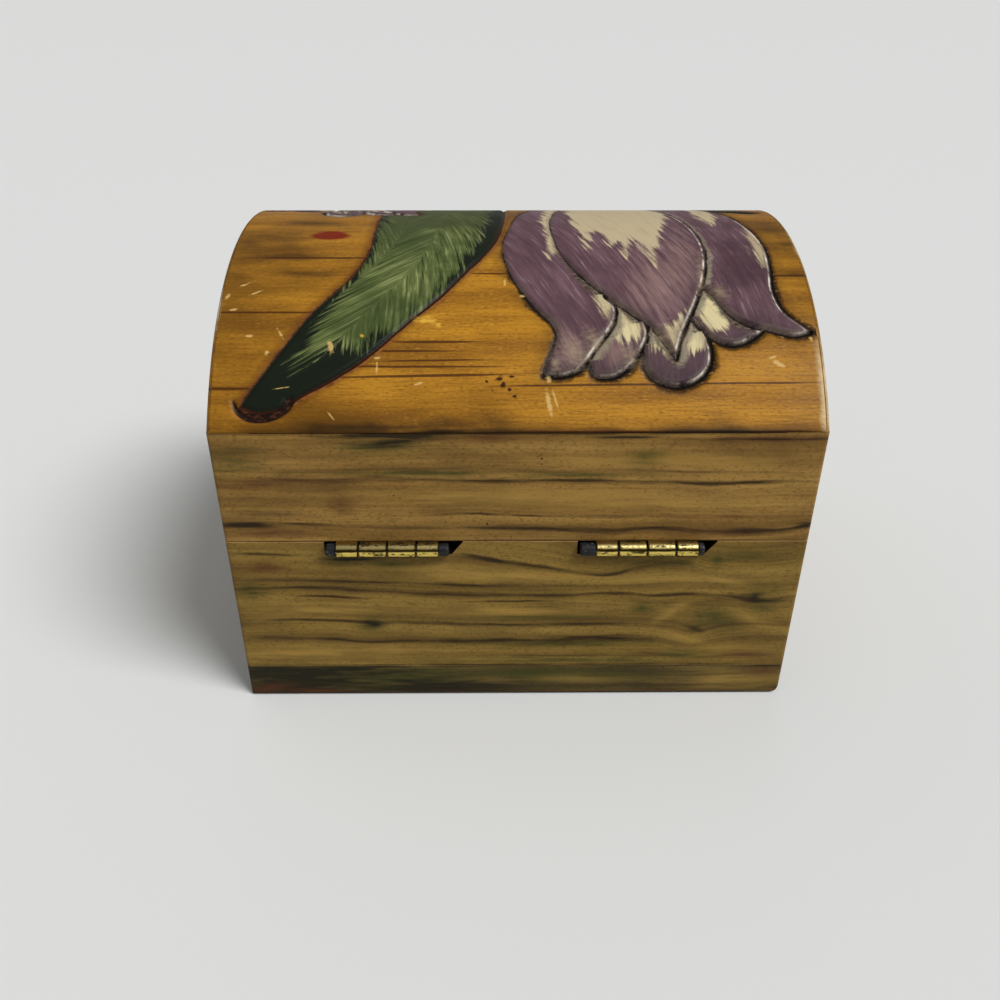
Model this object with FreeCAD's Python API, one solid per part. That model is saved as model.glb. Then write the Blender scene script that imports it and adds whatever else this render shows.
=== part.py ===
import FreeCAD, Part

import os

# Small dome-topped wooden trinket box. The walls stand on a bottom board and are sawn apart into a
# body and a lid, which turns on two brass butt hinges let into the back wall. Millimetres.
# Frame: +Z up, plain front at -Y, hinged back at +Y, origin at the middle of the underside.

# Driving dimensions of the box
BOX_WIDTH = 100.0
BOX_DEPTH = 90.0
BODY_HEIGHT = 34.7
LID_WALL_HEIGHT = 20.5
DOME_RISE = 23.0
SAW_GAP = 0.25

# Boards
PANEL_THICKNESS = 7.0
END_THICKNESS = 7.0
BOTTOM_THICKNESS = 7.1
TOP_THICKNESS = 6.0
CORNER_ROUND = 0.7
BASE_SIDE_ROUND = 0.8
BASE_RIGHT_ROUND = 1.0
BASE_LEFT_ROUND = 2.4

# Hinges: two rolled brass leaves on a steel pin
HINGE_SPACING = 44.4
HINGE_LENGTH = 17.4
KNUCKLE_COUNT = 4
KNUCKLE_GAP = 0.35
OUTER_KNUCKLE = 3.6
KNUCKLE_RADIUS = 1.4
KNUCKLE_CHAMFER = 0.15
LEAF_THICKNESS = 0.6
LEAF_WIDTH = 5.6
LEAF_CORNER = 0.8
HINGE_PROUD = 0.6
PIN_CLEARANCE = 0.05
PIN_HEAD_RADIUS = 1.15
PIN_HEAD_ROUND = 0.35
PIN_LONG_HEAD = 2.75
PIN_MIDDLE_HEAD = 1.8
PIN_SHORT_HEAD = 1.1
PIN_SEAT_GAP = 0.2

# Mortises that take the hinges, cut in the top of the back panel
MORTISE_CLEARANCE = 0.4
MORTISE_SLOPE = 2.0

# Nails that hold the leaves
NAIL_SPACING = 10.0
NAIL_SETBACK = 3.2
NAIL_SHANK_RADIUS = 0.5
NAIL_LENGTH = 8.0
NAIL_POINT = 1.2
NAIL_HEAD_RADIUS = 1.0
NAIL_HEAD_THICKNESS = 0.4
NAIL_HOLE_CLEARANCE = 0.05

# How far every cutting shape runs past what it cuts
OVERRUN = 5.0

# Places worked out from the sizes above
half_width = BOX_WIDTH / 2
half_depth = BOX_DEPTH / 2
inner_half_width = half_width - END_THICKNESS
inner_half_depth = half_depth - PANEL_THICKNESS
body_top = BODY_HEIGHT - SAW_GAP / 2
lid_bottom = BODY_HEIGHT + SAW_GAP / 2
springing = BODY_HEIGHT + LID_WALL_HEIGHT
crown = springing + DOME_RISE
dome_radius = (half_depth ** 2 + DOME_RISE ** 2) / (2 * DOME_RISE)
dome_centre = crown - dome_radius
inner_radius = dome_radius - TOP_THICKNESS
bore_radius = KNUCKLE_RADIUS - LEAF_THICKNESS
pin_radius = bore_radius - PIN_CLEARANCE
hinge_y = half_depth + HINGE_PROUD
hinge_z = lid_bottom - KNUCKLE_RADIUS
inner_count = KNUCKLE_COUNT - 2
inner_knuckle = (HINGE_LENGTH - 2 * OUTER_KNUCKLE - (KNUCKLE_COUNT - 1) * KNUCKLE_GAP) / inner_count
knuckle_lengths = [OUTER_KNUCKLE] + [inner_knuckle] * inner_count + [OUTER_KNUCKLE]
hinge_places = {"right": HINGE_SPACING / 2, "left": -HINGE_SPACING / 2}
pin_heads = {"right": (PIN_MIDDLE_HEAD, PIN_MIDDLE_HEAD), "left": (PIN_SHORT_HEAD, PIN_LONG_HEAD)}
nail_offsets = (-NAIL_SPACING / 2, NAIL_SPACING / 2)

# Cosine above which an edge counts as running along an axis
ALIGNED_SHARE = 0.999

X_AXIS = FreeCAD.Vector(1, 0, 0)
Y_AXIS = FreeCAD.Vector(0, 1, 0)
Z_AXIS = FreeCAD.Vector(0, 0, 1)


def board(low, high):
    """A plain board between two opposite corners."""
    size = [b - a for a, b in zip(low, high)]
    return Part.makeBox(*size, FreeCAD.Vector(*low))


def prism(points, direction):
    """A flat outline of straight edges, pushed along a direction."""
    corners = [FreeCAD.Vector(*p) for p in points]
    return Part.Face(Part.makePolygon(corners + corners[:1])).extrude(direction)


def edges_along(shape, axis):
    """The straight edges of a shape that run along an axis."""
    straight = [e for e in shape.Edges if isinstance(e.Curve, Part.Line)]
    return [e for e in straight if abs(e.tangentAt(e.FirstParameter).dot(axis)) > ALIGNED_SHARE]


def box_outline(low, high):
    """The box's plan between two heights, its upright corners sanded round."""
    plan = board((-half_width, -half_depth, low), (half_width, half_depth, high))
    return plan.makeFillet(CORNER_ROUND, edges_along(plan, Z_AXIS))


# Body: a bottom board, front and back panels over its full width, and ends between them


def bottom_blank(outward, radius):
    """The bottom board's blank, with the lower edge on one side worn round."""
    blank = board((-half_width, -half_depth, 0), (half_width, half_depth, BOTTOM_THICKNESS))
    lower = max(blank.Edges, key=lambda e: e.CenterOfMass.dot(outward - Z_AXIS))
    return blank.makeFillet(radius, [lower])


def bottom_board():
    """The board that the walls stand on, its lower edges worn more at one end than at the other."""
    slab = box_outline(0, BOTTOM_THICKNESS)
    for outward, radius in (
        (Y_AXIS, BASE_SIDE_ROUND),
        (Y_AXIS * -1, BASE_SIDE_ROUND),
        (X_AXIS, BASE_RIGHT_ROUND),
        (X_AXIS * -1, BASE_LEFT_ROUND),
    ):
        slab = slab.common(bottom_blank(outward, radius))
    return slab


def full_width_wall(side, low, high):
    """A front (side -1) or back (side 1) wall between two heights."""
    faces = sorted((side * inner_half_depth, side * half_depth))
    blank = board((-half_width, faces[0], low), (half_width, faces[1], high))
    return blank.common(box_outline(low, high))


def body_end(side):
    """A body end panel, between the front and back panels."""
    faces = sorted((side * inner_half_width, side * half_width))
    return board((faces[0], -inner_half_depth, BOTTOM_THICKNESS), (faces[1], inner_half_depth, body_top))


def mortise(name):
    """The pocket for one hinge: upright at its right end, sloping at its left end."""
    place = hinge_places[name]
    left_head, right_head = pin_heads[name]
    floor = hinge_z - KNUCKLE_RADIUS
    inner = hinge_y - LEAF_WIDTH - MORTISE_CLEARANCE
    upright = place + HINGE_LENGTH / 2 + right_head + MORTISE_CLEARANCE
    toe = place - HINGE_LENGTH / 2 - left_head - MORTISE_CLEARANCE
    rise = body_top - floor
    over = OVERRUN / rise
    slope_top = toe - MORTISE_SLOPE * (1 + over)
    outline = [
        (upright, inner, floor),
        (toe, inner, floor),
        (slope_top, inner, body_top + OVERRUN),
        (upright, inner, body_top + OVERRUN),
    ]
    return prism(outline, Y_AXIS * (half_depth + OVERRUN - inner))


def body_back_panel():
    """The back panel, with both hinge mortises and the holes of their nails."""
    panel = full_width_wall(1, BOTTOM_THICKNESS, body_top)
    for name, place in hinge_places.items():
        panel = panel.cut(mortise(name))
        for nail in leaf_nails(place, -1):
            panel = panel.cut(nail)
    return panel


# Lid: rails and arched ends under a domed top


def dome_cylinder(radius, low_x, high_x):
    """The solid cylinder that the dome is part of, lying along X."""
    start = FreeCAD.Vector(low_x, 0, dome_centre)
    return Part.makeCylinder(radius, high_x - low_x, start, X_AXIS)


def above_springing(low_x, high_x):
    """The space over the rails, from the springing to past the crown."""
    reach = half_depth + OVERRUN
    return board((low_x, -reach, springing), (high_x, reach, crown + OVERRUN))


def lid_top():
    """The domed top: one board, arched outside and hollowed inside, with its end arrises eased."""
    span = (-half_width, half_width)
    outer = dome_cylinder(dome_radius, *span).common(above_springing(*span))
    arches = [
        e
        for e in outer.Edges
        if isinstance(e.Curve, Part.Circle) and abs(abs(e.CenterOfMass.x) - half_width) < CORNER_ROUND / 2
    ]
    outer = outer.makeFillet(CORNER_ROUND, arches)
    return outer.cut(dome_cylinder(inner_radius, -half_width - OVERRUN, half_width + OVERRUN))


def lid_end(side):
    """A lid end panel, arched on top to the hollow of the domed top."""
    faces = sorted((side * inner_half_width, side * half_width))
    wall = board((faces[0], -inner_half_depth, lid_bottom), (faces[1], inner_half_depth, springing))
    arch = dome_cylinder(inner_radius, *faces).common(above_springing(*faces))
    return wall.fuse(arch).removeSplitter()


def lid_back_rail():
    """The back rail, with the holes of the nails that hold the lid leaves."""
    rail = full_width_wall(1, lid_bottom, springing)
    for place in hinge_places.values():
        for nail in leaf_nails(place, 1):
            rail = rail.cut(nail)
    return rail


# Hinges: side -1 is the body leaf under the pin, side 1 the lid leaf over it


def knuckle_spans(place, side):
    """Where the knuckles of one leaf begin along X and how long they are; the leaves take turns."""
    first = 0 if side < 0 else 1
    start = place - HINGE_LENGTH / 2
    spans = []
    for length in knuckle_lengths:
        spans.append((start, length))
        start += length + KNUCKLE_GAP
    return spans[first::2]


def knuckle(start, length):
    """One rolled knuckle round the pin, its outer rims eased."""
    base = FreeCAD.Vector(start, hinge_y, hinge_z)
    roll = Part.makeCylinder(KNUCKLE_RADIUS, length, base, X_AXIS)
    roll = roll.makeChamfer(KNUCKLE_CHAMFER, [e for e in roll.Edges if isinstance(e.Curve, Part.Circle)])
    return roll.cut(Part.makeCylinder(bore_radius, length, base, X_AXIS))


def hinge_leaf(place, side):
    """A flat leaf whose plane touches the barrel, with two holes and its own knuckles."""
    levels = sorted((hinge_z + side * KNUCKLE_RADIUS, hinge_z + side * bore_radius))
    root = hinge_y - KNUCKLE_RADIUS - KNUCKLE_GAP
    inner = hinge_y - LEAF_WIDTH
    ends = (place - HINGE_LENGTH / 2, place + HINGE_LENGTH / 2)
    plate = board((ends[0], inner, levels[0]), (ends[1], root, levels[1]))
    corners = [e for e in edges_along(plate, Z_AXIS) if e.CenterOfMass.y < (inner + root) / 2]
    leaf = plate.makeFillet(LEAF_CORNER, corners)
    for start, length in knuckle_spans(place, side):
        tab = board((start, root, levels[0]), (start + length, hinge_y, levels[1]))
        leaf = leaf.fuse([tab, knuckle(start, length)])
    leaf = leaf.removeSplitter()
    hole_radius = NAIL_SHANK_RADIUS + NAIL_HOLE_CLEARANCE
    for offset in nail_offsets:
        base = FreeCAD.Vector(place + offset, hinge_y - NAIL_SETBACK, levels[0] - OVERRUN)
        leaf = leaf.cut(Part.makeCylinder(hole_radius, LEAF_THICKNESS + 2 * OVERRUN, base, Z_AXIS))
    return leaf


def hinge_pin(name):
    """The pin: a shank through all the knuckles and a rounded head past each end."""
    place = hinge_places[name]
    half = HINGE_LENGTH / 2
    start = FreeCAD.Vector(place - half - PIN_SEAT_GAP, hinge_y, hinge_z)
    pin = Part.makeCylinder(pin_radius, HINGE_LENGTH + 2 * PIN_SEAT_GAP, start, X_AXIS)
    for side, length in zip((-1, 1), pin_heads[name]):
        seat = FreeCAD.Vector(place + side * (half + PIN_SEAT_GAP), hinge_y, hinge_z)
        head = Part.makeCylinder(PIN_HEAD_RADIUS, length - PIN_SEAT_GAP, seat, X_AXIS * side)
        tip = place + side * (half + length)
        rims = [
            e
            for e in head.Edges
            if isinstance(e.Curve, Part.Circle) and abs(e.CenterOfMass.x - tip) < PIN_HEAD_ROUND / 2
        ]
        pin = pin.fuse(head.makeFillet(PIN_HEAD_ROUND, rims))
    return pin.removeSplitter()


def leaf_nails(place, side):
    """The two nails of one leaf, driven down into the body (side -1) or up into the lid (side 1)."""
    drive = Z_AXIS * side
    nails = []
    for offset in nail_offsets:
        seat = FreeCAD.Vector(place + offset, hinge_y - NAIL_SETBACK, hinge_z + side * bore_radius)
        head = Part.makeCylinder(NAIL_HEAD_RADIUS, NAIL_HEAD_THICKNESS, seat, drive * -1)
        shank = Part.makeCylinder(NAIL_SHANK_RADIUS, NAIL_LENGTH - NAIL_POINT, seat, drive)
        point_base = seat + drive * (NAIL_LENGTH - NAIL_POINT)
        point = Part.makeCone(NAIL_SHANK_RADIUS, 0, NAIL_POINT, point_base, drive)
        nails.append(head.fuse([shank, point]).removeSplitter())
    return nails


# Assembly: one file for each named piece

pieces = {
    "bottom_board": bottom_board(),
    "body_front_panel": full_width_wall(-1, BOTTOM_THICKNESS, body_top),
    "body_back_panel": body_back_panel(),
    "body_right_end": body_end(1),
    "body_left_end": body_end(-1),
    "lid_front_rail": full_width_wall(-1, lid_bottom, springing),
    "lid_back_rail": lid_back_rail(),
    "lid_right_end": lid_end(1),
    "lid_left_end": lid_end(-1),
    "lid_domed_top": lid_top(),
}
for name, place in hinge_places.items():
    pieces[f"{name}_hinge_body_leaf"] = hinge_leaf(place, -1)
    pieces[f"{name}_hinge_lid_leaf"] = hinge_leaf(place, 1)
    pieces[f"{name}_hinge_pin"] = hinge_pin(name)
    pieces[f"{name}_hinge_body_nails"] = Part.makeCompound(leaf_nails(place, -1))
    pieces[f"{name}_hinge_lid_nails"] = Part.makeCompound(leaf_nails(place, 1))

os.makedirs("parts", exist_ok=True)
for name, shape in pieces.items():
    shape.exportStep(os.path.join("parts", f"{name}.step"))
    sound = shape.isValid() and all(s.isClosed() for s in shape.Solids)
    print(f"{name}: {len(shape.Solids)} solid(s), {shape.Volume:.2f} mm3, valid {sound}")
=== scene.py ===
import math
from functools import partial

import bpy
import numpy as np
from mathutils import Matrix, Vector


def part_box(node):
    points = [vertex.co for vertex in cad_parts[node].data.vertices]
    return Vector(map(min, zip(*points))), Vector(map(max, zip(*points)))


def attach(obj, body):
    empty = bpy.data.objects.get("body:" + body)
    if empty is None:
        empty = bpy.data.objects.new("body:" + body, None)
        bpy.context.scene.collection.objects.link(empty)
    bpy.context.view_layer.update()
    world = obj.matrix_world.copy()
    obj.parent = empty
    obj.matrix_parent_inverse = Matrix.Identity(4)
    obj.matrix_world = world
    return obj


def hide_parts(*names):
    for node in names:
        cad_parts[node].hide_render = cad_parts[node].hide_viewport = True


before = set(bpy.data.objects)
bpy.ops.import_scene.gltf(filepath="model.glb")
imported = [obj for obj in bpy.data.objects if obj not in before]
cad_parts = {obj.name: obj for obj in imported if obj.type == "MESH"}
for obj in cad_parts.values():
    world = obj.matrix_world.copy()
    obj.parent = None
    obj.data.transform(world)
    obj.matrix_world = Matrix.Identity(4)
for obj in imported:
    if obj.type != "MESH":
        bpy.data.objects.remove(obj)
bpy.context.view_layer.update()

# Bottom board. A plain pine board under the four walls, varnished dark on its edge, where green paint
# has run into the grain at one end. Its lower edges are worn round.

MM = 0.001
FADE = 1.5


def linear(hex_colour):
    """An sRGB hex colour as the linear values that a shader takes."""
    parts = [int(hex_colour[i : i + 2], 16) / 255 for i in (1, 3, 5)]
    return (*[c / 12.92 if c <= 0.04045 else ((c + 0.055) / 1.055) ** 2.4 for c in parts], 1.0)


def add_to(tree, kind, *inputs, size=None, stops=None, **settings):
    """Adds a node; its kind may be followed by an operation. Inputs go to its sockets in order, settings
    with a capital to sockets by name, and the rest are its options. A node given as a value stands for
    its first output. Size is a texture's, in millimetres, and stops are a ramp's places and colours."""
    kind, *operation = kind.split()
    made = tree.nodes.new("ShaderNode" + kind)
    if operation:
        made.operation = operation[0]
    if size:
        inputs = (add_to(tree, "Mapping", inputs[0], Scale=size, vector_type="TEXTURE"),)
        settings["Scale"] = 1.0
    values = dict(enumerate(inputs))
    for name, value in settings.items():
        if name[0].isupper():
            values[name.replace("_", " ")] = value
        else:
            setattr(made, name, value)
    for name, value in values.items():
        if isinstance(value, bpy.types.Node):
            value = value.outputs[0]
        if isinstance(value, bpy.types.NodeSocket):
            tree.links.new(value, made.inputs[name])
        else:
            made.inputs[name].default_value = linear(value) if isinstance(value, str) else value
    for index, (place, colour) in enumerate((stops or {}).items()):
        ramp = made.color_ramp.elements
        element = ramp[index] if index < len(ramp) else ramp.new(1.0)
        element.position = place
        element.color = linear(colour)
    return made


def new_material(name):
    """An empty node material, what adds a node to it, and a millimetre coordinate of the piece."""
    made = bpy.data.materials.new(name)
    made.use_nodes = True
    made.node_tree.nodes.clear()
    add = partial(add_to, made.node_tree)
    place = add("TexCoord").outputs["Object"]
    return made, add, add("VectorMath SCALE", place, Scale=1 / MM)


def near_marks(add, place, marks, reach, core, strength, wobble):
    """A strength in the core of any of some long ellipses, fading to 0 at their reach. A mark is its
    middle, half length and half width in millimetres, and its slant in degrees, if it has one. The place
    has 1 as its third value, so a dot product measures along a mark, and another across it."""
    nearest = None
    for x, y, half_long, half_wide, *slant in marks:
        turn = math.radians(sum(slant))
        c, s = math.cos(turn), math.sin(turn)
        along = (c / half_long, s / half_long, -(c * x + s * y) / half_long)
        across = (-s / half_wide, c / half_wide, (s * x - c * y) / half_wide)
        along = add("VectorMath DOT_PRODUCT", place, along).outputs["Value"]
        across = add("VectorMath DOT_PRODUCT", place, across).outputs["Value"]
        off = add("CombineXYZ", along, across)
        far = add("VectorMath LENGTH", off).outputs["Value"]
        if nearest is not None:
            far = add("Math MINIMUM", nearest, far)
        nearest = far
    ragged = add("Math ADD", nearest, wobble)
    shown = add("MapRange", ragged, reach, core)
    return add("Math MULTIPLY", add("Math POWER", shown, FADE), strength)


def tinted(add, under, tint, value, start, end, most=1):
    """Lays a tint over a colour, from none of it where a value is at its start to the most at its end."""
    return add("MixRGB", add("MapRange", value, start, end, 0, most), under, tint)


def dress(names, material):
    """Gives CAD nodes a material in place of their packed ones."""
    for name in names:
        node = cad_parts[name]
        node.data.materials.clear()
        node.data.materials.append(material)


# Marks that any board may carry: tint, reach and solid core in shares of their size, and strength.
MARK_KINDS = {
    "pale": ("#a3823f", 1.3, 0.0, 0.7),
    "green": ("#3a3c17", 1.3, 0.0, 0.8),
    "dark": ("#1d1a10", 1.2, 0.3, 0.9),
    "red": ("#54301a", 1.3, 0.0, 0.8),
    "faint": ("#46331a", 1.6, 0.1, 0.6),
    "line": ("#2a1d0e", 1.5, 0.25, 0.85),
    "dot": ("#20130a", 1.0, 0.5, 0.9),
}
BOARD_REACH = 50.0
BELOW, ABOVE = -10.0, 90.0


def varnished_pine(name, along, tones, rings, marks, bare=None):
    """Old varnished pine. Its growth rings run along the board on curves through a few points each, and
    the fibres follow them. A ring is dark along some stretches; other marks lie where they fell. What
    the brush did not reach is bare."""
    made, add, place = new_material(name)
    axes = add("SeparateXYZ", place)
    length, across = (axes.outputs[axis] for axis in ("XY" if along == "X" else "YX"))
    height = axes.outputs["Z"]
    share = add("MapRange", length, -BOARD_REACH, BOARD_REACH)
    flat = add("CombineXYZ", length, height, across)

    # the board's height is straightened, ring by ring, to the mean height of each ring
    lines, levels = [BELOW], [BELOW]
    for ring in rings:
        curve = add("FloatCurve", 1.0, share)
        spots = [(0.5 + x / (2 * BOARD_REACH), z / ABOVE) for x, z in ring["points"]]
        points = curve.mapping.curves[0].points
        for spot in spots[1:-1]:
            points.new(*spot)
        points[0].location = spots[0]
        points[len(points) - 1].location = spots[-1]
        curve.mapping.update()
        lines.append(add("Math MULTIPLY", curve, ABOVE))
        levels.append(sum(z for _, z in ring["points"]) / len(spots))
    straight = BELOW
    for low, high, start, end in zip(lines, [*lines[1:], ABOVE], levels, [*levels[1:], ABOVE]):
        step = add("MapRange", height, low, high, 0, end - start)
        straight = add("Math ADD", straight, step)
    ripple = add("TexNoise", flat, size=(12, 5, 6), Detail=2)
    straight = add("Math MULTIPLY_ADD", ripple, 0.7, straight)
    straight = add("Math SUBTRACT", straight, 0.35)
    ringed = add("CombineXYZ", length, straight, across)

    # early and late wood, fibres a hair wide, mottled varnish and pores
    band = add("TexNoise", ringed, size=(80, 2.4, 40), Detail=2)
    colour = add("ValToRGB", band, stops={0.32: tones[0], 0.5: tones[1], 0.68: tones[2]})
    fibre = add("TexNoise", ringed, size=(22, 0.45, 0.45), Detail=3)
    colour = tinted(add, colour, tones[3], fibre, 0.52, 0.3, 0.32)
    cloud = add("TexNoise", flat, size=(16, 7, 9), Detail=3)
    colour = tinted(add, colour, tones[3], cloud, 0.55, 0.3, 0.45)
    speck = add("TexNoise", flat, size=(0.6, 0.35, 0.35), Detail=2)
    colour = tinted(add, colour, tones[3], speck, 0.48, 0.3, 0.5)

    # dark stretches of the rings, then the marks
    grain = add("TexNoise", ringed, size=(7, 0.8, 4), Detail=3)
    wobble = add("MapRange", grain, 0.25, 0.75, -0.45, 0.45)
    for kind, (tint, reach, core, strength) in MARK_KINDS.items():
        stretches = [
            (x, level, half_long, half_wide)
            for ring, level in zip(rings, levels[1:])
            for x, half_long, half_wide in ring.get(kind, ())
        ]
        for where, spots in ((ringed, stretches), (flat, marks.get(kind))):
            if spots:
                on_face = add("VectorMath MULTIPLY_ADD", where, (1, 1, 0), (0, 0, 1))
                shown = near_marks(add, on_face, spots, reach, core, strength, wobble)
                colour = add("MixRGB", shown, colour, tint)

    # cut ends drink more varnish
    facing = add("SeparateXYZ", add("NewGeometry").outputs["Normal"])
    end = add("Math ABSOLUTE", facing.outputs[along])
    colour = tinted(add, colour, tones[3], end, 0.75, 0.95, 0.45)

    # inside and on the saw cut the wood is bare; the hinge pockets are painted black as shade
    if bare:
        half_x, half_y, outer_y, cut = bare
        size_x, size_y = (add("Math ABSOLUTE", axes.outputs[a]) for a in "XY")
        in_x = add("Math LESS_THAN", size_x, half_x)
        in_y = add("Math LESS_THAN", size_y, half_y)
        inside = add("Math MULTIPLY", in_x, in_y)
        sawn = add("Math COMPARE", height, cut, 0.02)
        under_face = add("Math LESS_THAN", size_y, outer_y)
        painted_pocket_shade = add("Math MULTIPLY", in_x, under_face)
        colour = add("MixRGB", painted_pocket_shade, colour, "#171109")
        raw = add("ValToRGB", fibre, stops={0.3: "#8a6a3c", 0.5: "#b08d58", 0.7: "#c4a26c"})
        unpainted = add("Math MAXIMUM", inside, sawn)
        colour = add("MixRGB", unpainted, colour, raw)

    relief = add("Math MULTIPLY_ADD", band, 1.5, fibre)
    bump = add("Bump", 0.5, 0.1 * MM, Height=relief)
    rough = add("MapRange", cloud, 0.3, 0.7, 0.42, 0.66)
    shader = add("BsdfPrincipled", colour, Roughness=rough, Normal=bump, Specular_IOR_Level=0.1)
    add("OutputMaterial", shader)
    return made


bottom_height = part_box("bottom_board")[1].z / MM
back_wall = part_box("body_back_panel")
inner_half_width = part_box("body_right_end")[0].x / MM
inner_half_depth, outer_half_depth = back_wall[0].y / MM, back_wall[1].y / MM
BARE_EDGE = 0.05
bare_sides = (inner_half_width + BARE_EDGE, inner_half_depth + BARE_EDGE, outer_half_depth - BARE_EDGE)
bottom_rings = [
    {"points": [(-50, 2.6), (-10, 2.2), (50, 2)], "faint": [(-20, 30, 0.3)]},
    {"points": [(-50, 5), (0, 4.4), (50, 4.8)], "faint": [(-34, 16, 0.3)]},
]
bottom_marks = {
    "pale": [(-40, 3.4, 14, 3), (-12, 4, 12, 1.2), (6, 3.4, 7, 1)],
    "green": [(22, 3.4, 34, 5), (40, 4, 22, 5), (-2, 5.2, 20, 2), (-16, 4.6, 20, 1.6)],
    "dark": [(42, 4.6, 26, 10), (14, 2, 20, 2.6), (12, 1, 24, 1)],
    "red": [(46.5, 1.7, 6, 1.6, -8), (37, 0.9, 8, 1), (-46, 5.4, 5, 1.6), (-18, 0.5, 40, 0.9)],
    "line": [(0, 7.1, 56, 0.25), (-46, 6.8, 6, 0.4)],
}
bottom_tones = ("#40371c", "#584a27", "#6a5930", "#261f10")
bottom_look = (bottom_tones, bottom_rings, bottom_marks, (*bare_sides, bottom_height))
dress(["bottom_board"], varnished_pine("dark varnished pine", "X", *bottom_look))

# Body walls. Four pine boards butted together on the bottom board: front and back run full width and
# the ends stand between them. Their rings lie level, and bend round knots near one end of the back.

bare_body = (*bare_sides, back_wall[1].z / MM)
body_tones = ("#6c5427", "#836830", "#93773b", "#463517")
back_rings = [
    {"points": [(-50, 9.4), (0, 9.4), (50, 10.2)], "faint": [(-10, 24, 0.3), (-42, 10, 0.3)]},
    {
        "points": [(-50, 13.5), (-42, 13.6), (-36, 12.8), (-31, 11.8), (-25, 13.6), (-7, 13.1),
                   (19, 13), (28, 12.8), (33, 13.5), (50, 13.6)],
        "faint": [(42, 10, 1)],
        "line": [(5, 22, 0.5), (-12, 14, 0.8), (30, 14, 0.35)],
    },
    {
        "points": [(-50, 16.4), (-37.5, 16.4), (-32.6, 15.1), (-27, 16.2), (-19, 16.7), (2, 16.6),
                   (13, 17), (29, 17.7), (50, 17.9)],
        "line": [(34, 16, 0.35), (4, 22, 0.42), (-10, 14, 0.5)],
        "faint": [(-38, 12, 0.5)],
    },
    {
        "points": [(-50, 20.4), (-30, 21), (-10, 21.9), (5, 21.8), (25, 22.6), (39, 23.2), (50, 23)],
        "red": [(33, 8, 0.4)],
        "line": [(33, 6, 0.18), (0, 9, 0.3)],
    },
    {
        "points": [(-50, 22.7), (-42, 22), (-36.6, 22.9), (-31, 23.6), (-24.3, 23), (-19.7, 23.6),
                   (-7, 23.1), (4, 23.3), (15, 23.6), (29, 24.6), (38.5, 25.1), (50, 24.7)],
        "line": [(36, 16, 0.45), (10, 18, 0.55), (-10, 16, 0.5), (-28, 10, 0.4), (-42, 8, 0.9)],
    },
    {
        "points": [(-50, 25.3), (-36, 25.5), (-29, 25.9), (-20, 25.4), (3, 25.4), (13, 25.6),
                   (29, 26.3), (50, 26.6)],
        "faint": [(40, 12, 0.5), (-6, 24, 0.35)],
        "line": [(8, 8, 0.35), (30, 10, 0.28)],
    },
    {
        "points": [(-50, 28.6), (-34, 28.2), (-29, 29.5), (-24, 29.5), (-20, 28.7), (-17, 27.7),
                   (-12, 27.9), (-3, 29.6), (2, 30.7), (11, 31.7), (34, 31.9), (50, 32.3)],
        "line": [(-4, 10, 0.45), (-16, 7, 0.6), (44, 7, 0.3)],
        "faint": [(8, 6, 0.5), (-26, 8, 1.1)],
    },
]
back_marks = {
    "pale": [(36, 10.4, 22, 2), (36, 20.2, 18, 1.6), (0, 27.4, 22, 1.4), (-24, 26.6, 14, 1.4),
             (-28, 19.6, 5, 1.3, -40), (-31.5, 13.2, 5, 1, 18), (0, 19.4, 16, 1.4),
             (-36, 26.4, 6, 1, 12), (16, 29, 10, 1.2), (-40, 10.6, 12, 2.2), (-42, 18, 6, 1.6, 20)],
    "green": [(-34.8, 30.6, 1.6, 2.6, 12), (-33.2, 18, 1.8, 3.2, -20), (29, 30.4, 5, 1.2),
              (22, 29.9, 7, 0.9), (-26, 30.2, 9, 1.2), (-22.5, 20.6, 2.8, 2.4), (-36, 18, 6, 3.4, 15),
              (-44, 22, 4, 4), (-6, 12.4, 24, 1.4), (-10, 8.6, 30, 1.3), (-4, 18.4, 14, 0.8),
              (-40, 31.4, 8, 1.6, 4), (47, 24, 4, 3), (25.5, 16.8, 4.6, 2.4), (-30, 9.6, 16, 1.8)],
    "red": [(-42, 9.4, 9, 1.6), (44, 29.4, 8, 2), (-24, 10, 3, 0.7)],
    "dark": [(25.6, 16.8, 2.6, 1.2, 10), (-32.6, 15.4, 2.4, 0.9, 15), (-42.4, 22.6, 2.4, 1.5),
             (28, 31, 7, 0.5), (5, 31, 6, 0.7, 14), (-18, 13.4, 8, 0.6, 2)],
    "line": [(0, 7.3, 56, 0.25)],
}
plain_rings = [
    {"points": [(-50, 10.2), (0, 10.8), (50, 10)], "faint": [(10, 40, 0.35)]},
    {"points": [(-50, 13.6), (-12, 14.4), (20, 13.6), (50, 14)], "line": [(-16, 26, 0.45), (34, 14, 0.4)]},
    {"points": [(-50, 18.4), (-20, 17.8), (14, 18.6), (50, 18)], "line": [(12, 32, 0.45)]},
    {"points": [(-50, 23.2), (-24, 24.4), (10, 23.4), (50, 24.2)], "line": [(-22, 22, 0.5), (26, 18, 0.4)]},
    {"points": [(-50, 26.6), (0, 27.2), (50, 26.8)], "faint": [(-6, 40, 0.35)]},
    {
        "points": [(-50, 31.2), (-16, 30.4), (22, 31.4), (50, 31)],
        "line": [(18, 24, 0.4)],
        "faint": [(-30, 18, 0.5)],
    },
]
plain_marks = {
    "pale": [(-20, 20.8, 26, 1.6), (24, 29, 20, 1.4), (10, 12, 28, 1.2)],
    "green": [(28, 16.2, 15, 1.8), (-36, 28.8, 12, 2), (-30, 8.6, 18, 1.3)],
    "dark": [(-16, 21.4, 2.2, 1)],
    "line": [(0, 7.3, 56, 0.25)],
}
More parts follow.
